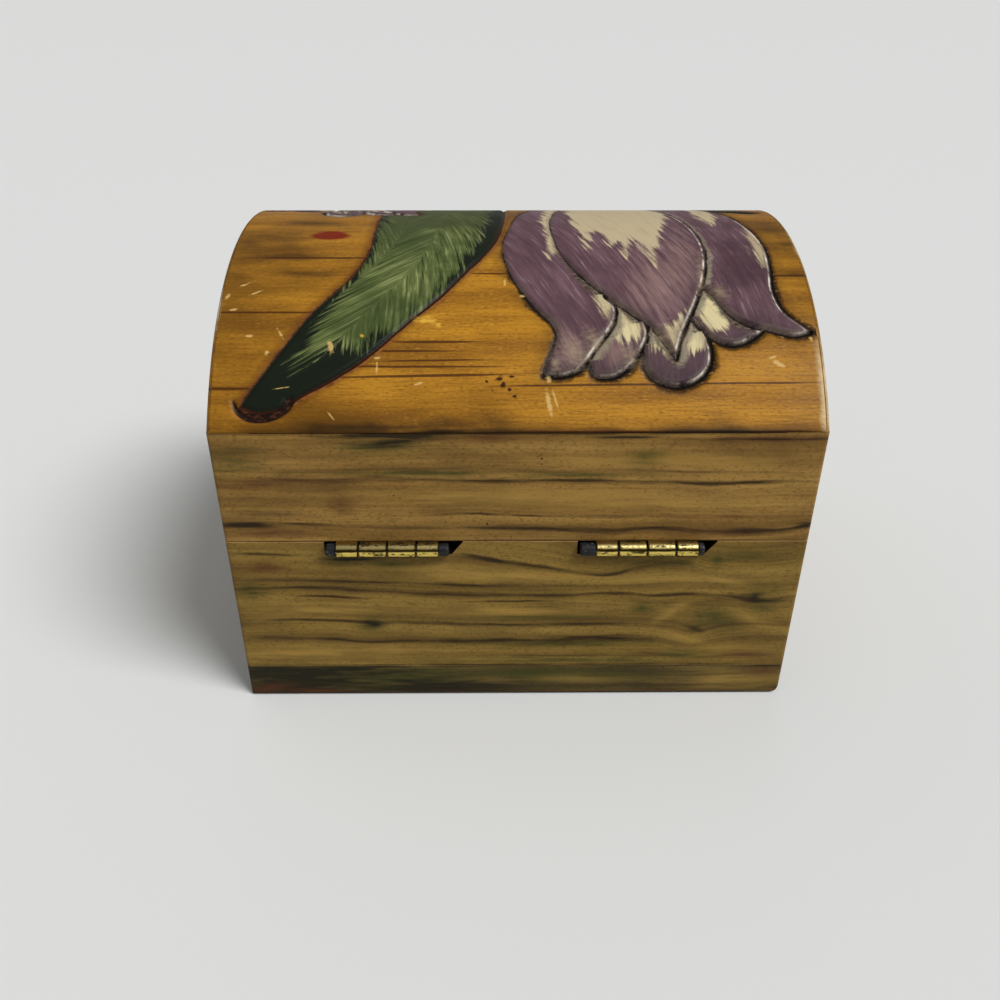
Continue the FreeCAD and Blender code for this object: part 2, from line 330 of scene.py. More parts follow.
for name, along, rings, marks, pieces in (
    ("aged back pine", "X", back_rings, back_marks, ["body_back_panel"]),
    ("aged front pine", "X", plain_rings, plain_marks, ["body_front_panel"]),
    ("aged end pine", "Y", plain_rings, plain_marks, ["body_left_end", "body_right_end"]),
):
    dress(pieces, varnished_pine(name, along, body_tones, rings, marks, bare_body))

# Hinges. Two small butt hinges of rolled sheet brass on dark steel pins, nailed to the pocket floors
# and to the lid's underside. The rolls carry painted reflections in two bright bands, with painted shade
# between.

barrel_low, barrel_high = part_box("right_hinge_pin")
pin_height = (barrel_low.z + barrel_high.z) / 2 / MM
pin_depth = (barrel_low.y + barrel_high.y) / 2 / MM
barrel_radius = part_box("right_hinge_lid_leaf")[1].z / MM - pin_height

hinge_brass, add, place = new_material("rolled brass with painted reflections")
cloud = add("TexNoise", place, size=(3.2, 1.2, 0.8), Detail=4, Roughness=0.6)
grime = add("TexNoise", place, size=(0.5, 0.4, 0.3), Detail=3)
axes = add("SeparateXYZ", place)
up = add("Math SUBTRACT", axes.outputs["Z"], pin_height)
up = add("Math DIVIDE", up, barrel_radius)
up = add("Math MULTIPLY_ADD", cloud, 0.3, up)
# painted reflection: the roll is bright where it would mirror the lamp and the floor, dark between, with
# painted shade at its foot
band = add("MapRange", up, -0.85, 1.15)
PAINTED_REFLECTION_STOPS = {0.24: "#2e2612", 0.32: "#d6bb58", 0.58: "#e6cd70", 0.64: "#4a3a14", 0.74: "#33280f",
              0.79: "#b9a564", 0.9: "#d2c084", 1.0: "#a8935a"}
gold = add("ValToRGB", band, stops=PAINTED_REFLECTION_STOPS)
leaf_start, leaf_full = (pin_depth - share * barrel_radius for share in (1.0, 1.3))
gold = tinted(add, gold, "#b39c55", axes.outputs["Y"], leaf_start, leaf_full)
dirty = add("Math MULTIPLY_ADD", grime, 0.5, cloud)
dirty = add("MapRange", dirty, 0.75, 0.86, 0, 0.9)
gold = add("MixRGB", dirty, gold, "#2e2717")
rough = add("MapRange", dirty, 0, 1.0, 0.3, 0.6)
bump = add("Bump", 0.4, 0.06 * MM, Height=grime)
shader = add("BsdfPrincipled", gold, Metallic=1.0, Roughness=rough, Normal=bump)
add("OutputMaterial", shader)

pin_steel, add, place = new_material("dark blued steel")
cloud = add("TexNoise", place, size=(0.9, 0.9, 0.5), Detail=4)
tone = add("ValToRGB", cloud, stops={0.4: "#141416", 0.6: "#222226", 0.72: "#6d6c6c"})
rough = add("MapRange", cloud, 0.3, 0.7, 0.65, 0.4)
bump = add("Bump", 0.4, 0.06 * MM, Height=cloud)
shader = add("BsdfPrincipled", tone, Metallic=0.5, Roughness=rough, Normal=bump)
add("OutputMaterial", shader)

for side in ("left", "right"):
    brass_pieces = ("body_leaf", "lid_leaf", "body_nails", "lid_nails")
    dress([f"{side}_hinge_{piece}" for piece in brass_pieces], hinge_brass)
    dress([f"{side}_hinge_pin"], pin_steel)

# Lid walls. The upper part of the same boards, sawn off the body, so their rings carry on upwards. The
# ends are arched on top to fit inside the domed top, and varnish has pooled dark under its arris.

back_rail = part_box("lid_back_rail")
bare_lid = (*bare_sides, back_rail[0].z / MM)
rail_tones = ("#7a5c2c", "#906e37", "#9f7c40", "#50391b")
rail_rings = [
    {
        "points": [(-50, 38.3), (-47, 37.3), (-38, 36.5), (-31, 36.5), (-27, 37.2), (-20, 37.2),
                   (-15.5, 36.8), (-8, 37.2), (8, 37.4), (24, 37.6), (41, 38.4), (50, 38.1)],
        "faint": [(22, 14, 0.6), (-10, 30, 0.9)],
        "line": [(46, 6, 0.7), (37, 5, 0.6), (0, 16, 0.4), (-22, 14, 0.5), (-42, 12, 0.7)],
    },
    {
        "points": [(-50, 39.7), (-12, 39.8), (2, 40), (8, 40.4), (14, 40.2), (50, 40.1)],
        "line": [(6, 8, 0.3), (-1, 5, 0.25)],
        "red": [(-37, 14, 0.5)],
        "faint": [(-14, 14, 0.3), (42, 10, 0.9)],
    },
    {
        "points": [(-50, 46.4), (-39, 46.2), (-32, 45.8), (-25, 46.3), (-12, 46.5), (8, 46.5),
                   (21, 46.9), (30, 46.6), (50, 47)],
        "red": [(36, 16, 0.9)],
        "faint": [(30, 22, 0.7), (-30, 22, 0.5)],
        "line": [(6, 14, 0.45), (-10, 16, 0.5), (-34, 16, 0.4)],
    },
    {
        "points": [(-50, 47.9), (-35, 48.1), (-18, 48.5), (0, 48.8), (14, 48.8), (28, 48.6), (50, 48.5)],
        "faint": [(18, 24, 0.4), (-30, 16, 0.3)],
    },
]
rail_marks = {
    "pale": [(0, 43.4, 34, 2), (-24, 50.4, 24, 1.4), (-20, 42, 26, 1.2)],
    "green": [(22.4, 53.2, 11, 2.2), (16, 48, 22, 1), (-20.5, 50.8, 4, 2), (46, 50, 6, 3),
              (-10, 47.6, 16, 0.8)],
    "red": [(-40, 54.2, 14, 0.8), (29.5, 42, 3, 2.2), (-32, 36.6, 18, 1), (42, 36.4, 10, 1.2),
            (4, 54.4, 10, 1), (42, 45.8, 9, 0.7)],
    "dark": [(19, 54.9, 15, 1.3), (21, 53.6, 8, 1.1), (-17, 54.5, 7, 0.4), (45, 38.2, 7, 0.7),
             (-49, 37.8, 3, 1)],
    "line": [(0, 55.2, 56, 0.3), (-41, 54.1, 12, 0.3), (0, 34.9, 56, 0.12)],
    "dot": [(-3.8, z, 0.22, 0.2) for z in (52.6, 51.5, 50.6, 49.6)]
    + [(5.1, 38.2, 0.36, 0.34), (20.6, 43.8, 0.25, 0.2), (19.6, 43.3, 0.25, 0.2)],
}
plain_rail_rings = [
    {"points": [(-50, 38), (-14, 37.2), (22, 38.2), (50, 37.6)], "line": [(0, 44, 0.45)]},
    {"points": [(-50, 41.4), (6, 40.8), (50, 41.6)], "faint": [(8, 36, 0.35)]},
    {"points": [(-50, 46), (-18, 46.8), (16, 46), (50, 46.6)], "line": [(18, 26, 0.45), (-28, 16, 0.4)]},
    {"points": [(-50, 50.2), (0, 49.6), (50, 50.4)], "faint": [(-10, 40, 0.4)]},
    {"points": [(-50, 60), (0, 58.6), (50, 60.4)], "line": [(0, 44, 0.4)]},
    {"points": [(-50, 66), (0, 65.2), (50, 66.6)], "faint": [(0, 44, 0.4)]},
]
plain_rail_marks = {
    "pale": [(0, 43.8, 34, 1.7), (-14, 52.4, 26, 1.4)],
    "green": [(30, 52.6, 16, 2), (-26, 38.8, 16, 1.4)],
    "line": [(0, 55.2, 56, 0.3)],
}
lid_end_marks = {kind: places for kind, places in plain_rail_marks.items() if kind != "line"}
for name, along, rings, marks, pieces in (
    ("aged rail pine", "X", rail_rings, rail_marks, ["lid_back_rail"]),
    ("aged front rail pine", "X", plain_rail_rings, plain_rail_marks, ["lid_front_rail"]),
    ("aged lid end pine", "Y", plain_rail_rings, lid_end_marks, ["lid_left_end", "lid_right_end"]),
):
    dress(pieces, varnished_pine(name, along, rail_tones, rings, marks, bare_lid))

# Domed top. One pine board, arched outside and hollowed inside, glued over the rails and the arched
# ends. Its arrises are eased by hand. The mesh is fine where a knife has cut the outlines of flowers.

top_low, top_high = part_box("lid_domed_top")
half_width, half_depth = top_high.x, top_high.y
rise = top_high.z - top_low.z
dome_radius = (half_depth**2 + rise**2) / (2 * rise)
dome_axis = top_high.z - dome_radius
half_arc = dome_radius * math.asin(half_depth / dome_radius)
TOP_THICKNESS = 6.0 * MM
GRID_STEP = 0.5 * MM
SPARE_ARC = 6.0 * MM
END_EASE = 0.7 * MM
ARRIS_EASE = 0.35 * MM

bpy.ops.object.select_all(action="DESELECT")
bpy.ops.mesh.primitive_grid_add(
    x_subdivisions=round(2 * half_width / GRID_STEP),
    y_subdivisions=round(2 * (half_arc + SPARE_ARC) / GRID_STEP),
    size=2,
)
top = bpy.context.object
top.name = "domed_top"


def values_of(items, name):
    """One vector of every vertex or face, as an array."""
    values = np.empty(len(items) * 3)
    items.foreach_get(name, values)
    return values.reshape(-1, 3)


def select(kind, chosen):
    """Selects only the chosen edges or faces of the top, and goes to edit mode."""
    bpy.ops.object.mode_set(mode="EDIT")
    bpy.ops.mesh.select_all(action="DESELECT")
    bpy.ops.mesh.select_mode(type="EDGE" if kind == "edges" else "FACE")
    bpy.ops.object.mode_set(mode="OBJECT")
    getattr(top.data, kind).foreach_set("select", np.asarray(chosen))
    bpy.ops.object.mode_set(mode="EDIT")


def from_axis(points):
    """How far points are from the arch's axis."""
    return np.hypot(points[:, 1], points[:, 2] - dome_axis)


def edge_middles():
    """The middle of every edge of the top."""
    bpy.ops.object.mode_set(mode="OBJECT")
    ends = np.empty(len(top.data.edges) * 2, dtype=np.int32)
    top.data.edges.foreach_get("vertices", ends)
    return values_of(top.data.vertices, "co")[ends.reshape(-1, 2)].mean(axis=1)


# the flat grid is wrapped on the arch, a little past its feet
sheet = values_of(top.data.vertices, "co")
angle = sheet[:, 1] * (half_arc + SPARE_ARC) / dome_radius
wrapped = [sheet[:, 0] * half_width, dome_radius * np.sin(angle), dome_axis + dome_radius * np.cos(angle)]
top.data.vertices.foreach_set("co", np.column_stack(wrapped).ravel())

# its two end arches are drawn inwards and bridged, and the feet are cut off level
middles = edge_middles()
select("edges", np.abs(middles[:, 0]) > half_width - GRID_STEP / 4)
bpy.ops.mesh.extrude_edges_indiv()
inward = (dome_radius - TOP_THICKNESS) / dome_radius
bpy.ops.transform.resize(value=(1, inward, inward), center_override=(0, 0, dome_axis))
bpy.ops.mesh.bridge_edge_loops()
bpy.ops.mesh.select_all(action="SELECT")
bpy.ops.mesh.bisect(plane_co=(0, 0, top_low.z), plane_no=(0, 0, 1), use_fill=True, clear_inner=True)
bpy.ops.mesh.select_all(action="SELECT")
bpy.ops.mesh.normals_make_consistent(inside=False)

# the end arches and the two long feet are eased
middles = edge_middles()
outside = from_axis(middles) > dome_radius - GRID_STEP / 4
select("edges", outside & (np.abs(middles[:, 0]) > half_width - GRID_STEP / 4))
bpy.ops.mesh.bevel(offset=END_EASE, segments=3, affect="EDGES")
middles = edge_middles()
at_foot = np.abs(middles[:, 2] - top_low.z) < GRID_STEP / 8
select("edges", at_foot & (np.abs(middles[:, 1]) > half_depth - GRID_STEP / 2))
bpy.ops.mesh.bevel(offset=ARRIS_EASE, segments=2, affect="EDGES")
bpy.ops.object.mode_set(mode="OBJECT")

# Flowers and leaves. Tulips and long leaves are drawn on the arch with a knife: the cuts are deepest
# along the lower rims of the petals. All places are millimetres on the unrolled arch, measured along
# the box and from the crest towards the hinged back.

SPLINE_STEPS = 6
FAR = 6.0

# The knife: how deep it went round a petal near the crest and near the back, round leaves and stems, and
# in the curl; how wide its wall and its slope are, and how far painted shade reaches beside a cut.
PETAL_ARCS, PETAL_DEPTHS = (12.0, 34.0), (0.45, 1.0)
LEAF_DEPTH, CURL_DEPTH = 0.6, 0.8
WALL_WIDTH, SLOPE_LEAST, SLOPE_GROWTH = 0.4, 0.3, 1.2
SHADE_INSIDE, SHADE_BEHIND = 1.3, 1.5


def smooth(points):
    """A smooth line through given points, as many short steps."""
    p = np.array(points, float)
    p = np.vstack([2 * p[0] - p[1], p, 2 * p[-1] - p[-2]])
    t = np.linspace(0, 1, SPLINE_STEPS, endpoint=False)[:, None]
    steps = [
        b + 0.5 * t * (c - a + t * (2 * a - 5 * b + 4 * c - d + t * (3 * (b - c) + d - a)))
        for a, b, c, d in zip(p, p[1:], p[2:], p[3:])
    ]
    return np.vstack([*steps, p[-2:-1]])


def path_distance(places, line):
    """How far places are from a line of short steps, how far along it the nearest point is, on which
    side of it they lie, and the way from that point to them."""
    nearest = np.full(len(places), FAR)
    along, side = np.zeros((2, len(places)))
    away = np.zeros((len(places), 2))
    close = np.all((places > line.min(axis=0) - FAR) & (places < line.max(axis=0) + FAR), axis=1)
    near_places = places[close]
    best = nearest[close]
    found = np.zeros((4, len(near_places)))
    walked = 0.0
    for a, b in zip(line, line[1:]):
        step = b - a
        size = max(math.hypot(*step), 1e-9)
        off = near_places - a
        share = np.clip(off @ step / size**2, 0, 1)
        rest = off - share[:, None] * step
        gap = np.hypot(*rest.T)
        closer = gap < best
        best[closer] = gap[closer]
        turned = np.sign(step[0] * off[:, 1] - step[1] * off[:, 0])
        found[:, closer] = np.array([walked + share * size, turned, *rest.T])[:, closer]
        walked += size
    nearest[close] = best
    along[close], side[close] = found[:2]
    away[close] = found[2:].T
    return nearest, along, side, away


def inside_distance(places, outline):
    """Distance to a closed outline, above zero inside it and below zero outside, and the way that the
    outline faces there."""
    nearest, _, _, away = path_distance(places, np.vstack([outline, outline[:1]]))
    x, y = places.T
    inside = np.zeros(len(places), bool)
    for (ax, ay), (bx, by) in zip(outline, np.roll(outline, -1, axis=0)):
        crosses = (ay > y) != (by > y)
        inside[crosses] ^= x[crosses] < (bx - ax) * (y[crosses] - ay) / (by - ay) + ax
    sign = np.where(inside, 1.0, -1.0)
    return sign * nearest, -sign[:, None] * away / np.maximum(nearest, 0.01)[:, None]


# Each petal: its outline as smooth runs between sharp points, the way its brush strokes run, and the
# pale patches painted on it. The petals are listed from the one in front to those behind.
PETALS = [
    {
        "runs": [
            [(-19, -23), (-10.5, -14), (-6.9, 0), (-6.7, 9), (-8.3, 17), (-11.8, 23.3), (-17.2, 29.2),
             (-22.4, 34), (-25.8, 39.6)],
            [(-25.8, 39.6), (-27.2, 35), (-29.9, 28.9), (-32.3, 22), (-33.3, 14.3), (-32.2, 5.2),
             (-29.3, -5), (-25, -16), (-19, -23)],
        ],
        "strokes": (-0.38, 0.92),
        "pale": [
            [(-9.5, -16), (-10.6, 4.6), (-11.9, 9), (-12.6, 14.5), (-13.7, 8), (-15.7, 8.5),
             (-16.8, 13.2), (-18.6, 11.8), (-19.5, 17.2), (-20.2, 11), (-21.6, 11.8), (-23.3, 16.5),
             (-24, 19.6), (-25, 13.5), (-26.1, 9), (-27.8, 3.2), (-29, -4), (-25, -16), (-19, -21)],
            [(-25, 34), (-25.6, 38), (-26.8, 34.5), (-27.6, 31)],
        ],
    },
    {
        "runs": [
            [(-19, -23), (-9, -17.5), (-2, -6), (1.5, 8.5), (2.3, 15), (0.9, 22.3), (-2.4, 28.9),
             (-5.6, 33), (-6.3, 36), (-5, 39.8), (-4.2, 42.6)],
            [(-4.2, 42.6), (-7.6, 42.7), (-10.3, 41.3), (-13.2, 37.2), (-15.8, 33.2), (-16.4, 29.6),
             (-14.6, 26.6), (-18, 20), (-19, 0), (-19, -23)],
        ],
        "strokes": (-0.45, 0.89),
        "pale": [
            [(-7, -14), (-5.3, 2), (-5.3, 12), (-5.7, 17.4), (-7, 15.6), (-7.2, 5), (-10, -14)],
            [(-12.6, 24.4), (-13, 28), (-14.4, 31.6), (-15.7, 30), (-14.9, 27)],
        ],
    },
    {
        "runs": [
            [(-19, -23), (-30, -18), (-38.4, -7.6), (-42.5, 4.6), (-44.1, 13.5), (-43.9, 20.6),
             (-43.4, 26), (-44.6, 30.7), (-48.5, 34.7)],
            [(-48.5, 34.7), (-45.6, 35.4), (-41.9, 34.4), (-38.2, 33.2), (-35.1, 30.7), (-33, 26.8),
             (-30.5, 23), (-25, 10), (-21, -8), (-19, -23)],
        ],
        "strokes": (-0.2, 0.98),
        "pale": [
            [(-42.3, 6), (-41.9, 12.7), (-42.2, 17.3), (-42.8, 20), (-43.6, 15.8), (-43.3, 9.5)],
            [(-34.5, -12), (-34.8, 0), (-36.7, 4.5), (-37.9, 0), (-37.5, -10)],
        ],
    },
    {
        "runs": [
            [(-11, 38), (-12.2, 42.4), (-14, 43.1), (-16.2, 42.6), (-18.7, 40.5), (-20.8, 37),
             (-21.4, 34.4), (-20.4, 31.8), (-16, 27), (-11, 38)],
        ],
        "strokes": (-0.2, 0.98),
        "pale": [[(-17, 28), (-16, 35.4), (-17.4, 37), (-18.6, 36), (-19.6, 37.2), (-21.4, 34.4),
                  (-20, 31)]],
    },
    {
        "runs": [
            [(-28.3, 31), (-31, 34.9), (-33.5, 36.8), (-36.4, 37), (-39, 35.6), (-41.5, 33.5)],
            [(-41.5, 33.5), (-36, 28), (-32, 24), (-28.3, 31)],
        ],
        "strokes": (-0.5, 0.86),
        "pale": [
            [(-31, 24), (-29.6, 30), (-30.6, 33), (-32, 34.6), (-33.9, 34.4), (-35.2, 32.6), (-33.5, 28)],
        ],
    },
    {
        "runs": [
            [(-21, 36), (-20.4, 40.5), (-22, 43.4), (-25.3, 44.6), (-28.6, 43.8), (-30.8, 41.7),
             (-31.6, 38.8), (-30.9, 35.2), (-28.6, 31.4), (-24, 30), (-21, 36)],
        ],
        "strokes": (0.05, 1.0),
        "pale": [
            [(-21, 33), (-21.8, 38.7), (-23, 38), (-24.4, 39.2), (-26.2, 38), (-28, 38.8),
             (-30.2, 37.6), (-30.8, 35.6), (-28.8, 31), (-25, 31)],
        ],
    },
]

LEAF_RUNS = [
    [(44.6, 48), (43.2, 45.6), (40.8, 41.8), (37.5, 36.5), (33.9, 30.7), (30.2, 25.8), (27.6, 21.5),
     (25.6, 14), (25.2, 0), (23.6, -14), (17, -29), (6, -42)],
    [(6, -42), (2.5, -26), (1.8, -11), (2.1, 0), (2.9, 8.5), (5, 15), (8.2, 20.3), (12.6, 26.8),
     (18, 32.6), (23.5, 38.3), (28.6, 42.4), (34.6, 46), (38, 48.2), (41.5, 49), (44.6, 48)],
]
LEAF_RIB = [(44, 47.6), (33, 40.5), (24.5, 30), (17.8, 20), (14.4, 9), (13.4, -3), (12, -16),
            (8.5, -30), (6, -42)]
LEAF_LIGHT = [(23.4, -14), (24.6, 2), (25, 16), (27, 22.6), (29.2, 26), (31.2, 30.5), (33.6, 34.6),
              (34.2, 38), (36.8, 41.2), (32.6, 38.6), (29.4, 36.6), (25.8, 38.4), (24.2, 34.8),
              (20.2, 34.4), (16.6, 31), (12.6, 25.6), (10.4, 21), (8.8, 16.5), (7, 10.2), (4.6, -6),
              (4.6, -20), (6.5, -38), (15.5, -28)]
LEAF_CURL = [(45.8, 47.1), (44.9, 48.9), (43, 49.8), (41, 49.9), (39, 49.4), (37.4, 48.3), (36.7, 47.2)]
CURL_HALF = 0.75
STEM = [(-19, -22), (-18, -29), (-13, -38), (-6, -45), (-1, -54)]
STEM_2 = [(29, -46), (28.5, -50), (28, -54)]
STEM_HALF, STEM_LIGHT = 1.5, 0.4

# Strokes on the leaf fan out from its rib. Their slant on either side grows or fades over this length.
FAN_LENGTH = 30.0
FAN_SLANTS = {1: (0.9, 1.5), -1: (-0.45, 0.05)}

# The second tulip stands on the front slope, smaller and turned over left to right, and the second
# leaf leans away from it. Each is the first one scaled, turned and moved.
AS_DRAWN = {"scale": 1.0, "turn": 0.0, "from": (0.0, 0.0), "to": (0.0, 0.0)}
TULIP_2 = {"scale": 0.68, "turn": 0.0, "from": (-21.0, 44.6), "to": (29.5, -2.5)}
LEAF_2 = {"scale": 0.5, "turn": math.radians(8.2), "from": (44.6, 48.0), "to": (-47.5, -5.5)}


def drawn_places(places, placing):
    """Places on the arch, taken back to where the first drawing has them."""
    off = places - placing["to"]
    if placing is not AS_DRAWN:
        c, s = math.cos(placing["turn"]), math.sin(placing["turn"])
        off = np.column_stack([-(c * off[:, 0] + s * off[:, 1]), c * off[:, 1] - s * off[:, 0]])
    return off / placing["scale"] + placing["from"]


def fanned(spots, side):
    """Which brush stroke of the leaf runs through each spot, counted across the strokes."""
    start, end = FAN_SLANTS[side]
    t = np.clip(spots[:, 1], 0, FAN_LENGTH)
    past = np.maximum(spots[:, 1] - FAN_LENGTH, 0)
    drift = start * spots[:, 1] + (end - start) * (t**2 / (2 * FAN_LENGTH) + past)
    return spots[:, 0] - drift


def ornament(places):
    """What the knife and the brush did at places on the unrolled arch: how far they are inside the edge
    of their own shape (rim), outside one in front (foot) and from the nearer of both (gap), how hard the
    knife bit there, what paint and which brush stroke lie on them, where painted shade lies beside the
    cuts, and how much each rim faces the lamp for its painted highlight."""
    shapes = []
    for number, placing in enumerate((AS_DRAWN, TULIP_2)):
        spots = drawn_places(places, placing)
        for order, petal in enumerate(PETALS):
            edge, facing = inside_distance(spots, np.vstack([smooth(run)[:-1] for run in petal["runs"]]))
            patches = [inside_distance(spots, np.array(patch, float))[0] for patch in petal["pale"]]
            along = np.array(petal["strokes"])
            serial = np.full(len(spots), order + 7.0 * number)
            strokes = (spots @ (along[1], -along[0]), spots @ along, serial)
            depth = np.interp(spots[:, 1], PETAL_ARCS, PETAL_DEPTHS)
            patch = np.max(patches, axis=0)
            shapes.append(("bloom", edge * placing["scale"], facing, patch, strokes, depth))
    for number, placing in enumerate((AS_DRAWN, LEAF_2)):
        spots = drawn_places(places, placing)
        edge, facing = inside_distance(spots, np.vstack([smooth(run)[:-1] for run in LEAF_RUNS]))
        _, _, side, _ = path_distance(spots, smooth(LEAF_RIB))
        light, _ = inside_distance(spots, np.array(LEAF_LIGHT, float))
        across = np.where(side > 0, fanned(spots, 1), fanned(spots, -1))
        strokes = (across, spots[:, 1], 20.0 + 2 * number + (side > 0))
        shapes.append(("leaf", edge * placing["scale"], facing, light, strokes, LEAF_DEPTH))
    for stem in (STEM, STEM_2):
        off, along, side, _ = path_distance(places, smooth(stem))
        strokes = (off * side, along, np.full(len(places), 26.0))
        still = np.zeros((len(places), 2))
        shapes.append(("leaf", STEM_HALF - off, still, STEM_LIGHT - off, strokes, LEAF_DEPTH))

    count = len(places)
    made = {name: np.full(count, -FAR) for name in ("bloom", "leaf", "patch")}
    made |= {name: np.full(count, FAR) for name in ("rim", "foot")}
    made |= {name: np.zeros(count) for name in ("bite", "glint", "hollow")}
    made["stroke"] = np.zeros((count, 3))
    covered = np.zeros(count, bool)
    for kind, edge, facing, patch, strokes, depth in shapes:
        right, back = -facing[:, 0], facing[:, 1]
        bite = depth * np.clip(0.65 + 0.35 * back + 0.1 * right, 0.3, 1.0)
        mine = (edge > 0) & ~covered
        below = (edge <= 0) & ~covered & (-edge < made["foot"])
        cut = below | (mine & (edge < made["foot"]))
        made["bite"][cut] = bite[cut]
        made["glint"][cut] = np.clip(0.9 * right + 0.25 * back, 0, 1)[cut]
        made["foot"][below] = -edge[below]
        made["rim"][mine] = edge[mine]
        made["patch"][mine] = patch[mine]
        made["stroke"][mine] = np.column_stack(strokes)[mine]
        # painted shade: darker inside each rim as hard as the knife bit, and a painted shadow on what lies
        # behind a shape in front
        made["hollow"][mine] = (bite * np.exp(-((edge / SHADE_INSIDE) ** 2)))[mine]
        under = 0.55 * depth * np.exp(-((edge / SHADE_BEHIND) ** 2))
        behind = ~covered & (edge < 0)
        made["hollow"][behind] = np.maximum(made["hollow"], under)[behind]
        made[kind] = np.maximum(made[kind], edge)
        covered |= edge > 0
    made["gap"] = np.minimum(made["rim"], made["foot"])
    made["own"] = (made["rim"] < made["foot"]).astype(float)
    off, along, _, _ = path_distance(places, smooth(LEAF_CURL))
    made["curl"] = CURL_HALF * np.clip(0.25 + along / 5, 0.25, 1.0) - off
    return made


def knife_depth(fields):
    """How deep the knife went, from 0 to 1: a steep wall inside each outline, a long slope outside."""
    bite = fields["bite"]
    wall = np.exp(-((fields["rim"] / WALL_WIDTH) ** 2))
    slope = np.clip(1 - fields["foot"] / (SLOPE_LEAST + SLOPE_GROWTH * bite), 0, 1) ** 1.5
    groove = bite * np.maximum(wall, slope)
    return np.maximum(groove, CURL_DEPTH * np.clip(0.5 + fields["curl"] / CURL_HALF, 0, 1))


def unrolled(points):
    """Where points of the top lie on the unrolled arch, in millimetres."""
    arc = dome_radius * np.arctan2(points[:, 1], points[:, 2] - dome_axis)
    return np.column_stack([points[:, 0], arc]) / MM


# finer faces where the knife has been
NEAR_KNIFE = 1.3
centres = values_of(top.data.polygons, "center")
skin = from_axis(centres) > dome_radius - GRID_STEP
near = np.zeros(len(centres), bool)
drawn = ornament(unrolled(centres[skin]))
near[skin] = (drawn["gap"] < NEAR_KNIFE) | (drawn["curl"] > -NEAR_KNIFE)
select("polygons", near)
bpy.ops.mesh.subdivide(number_cuts=1)
bpy.ops.object.mode_set(mode="OBJECT")

spots = values_of(top.data.vertices, "co")
fields = ornament(unrolled(spots))
depth = knife_depth(fields)
del fields["rim"], fields["foot"]
fields["flat"] = np.column_stack([unrolled(spots), np.ones(len(spots))])
for name, values in fields.items():
    vector = values.ndim == 2
    layer = top.data.attributes.new(name, "FLOAT_VECTOR" if vector else "FLOAT", "POINT")
    layer.data.foreach_set("vector" if vector else "value", values.astype(np.float32).ravel())

# the cuts are sunk into the skin, weighted by their depth
KNIFE_DEPTH = 0.7 * MM
LEAST_CUT = 0.01
knife = top.vertex_groups.new(name="knife")
on_skin = from_axis(spots) > dome_radius - END_EASE / 2
for index in np.flatnonzero(on_skin & (depth > LEAST_CUT)):
    knife.add([int(index)], float(depth[index]), "REPLACE")
sink = top.modifiers.new("knife", "DISPLACE")
sink.vertex_group = knife.name
sink.strength = -KNIFE_DEPTH
sink.mid_level = 0.0
bpy.ops.object.modifier_apply(modifier=sink.name)
bpy.ops.object.shade_smooth_by_angle(angle=math.radians(50))
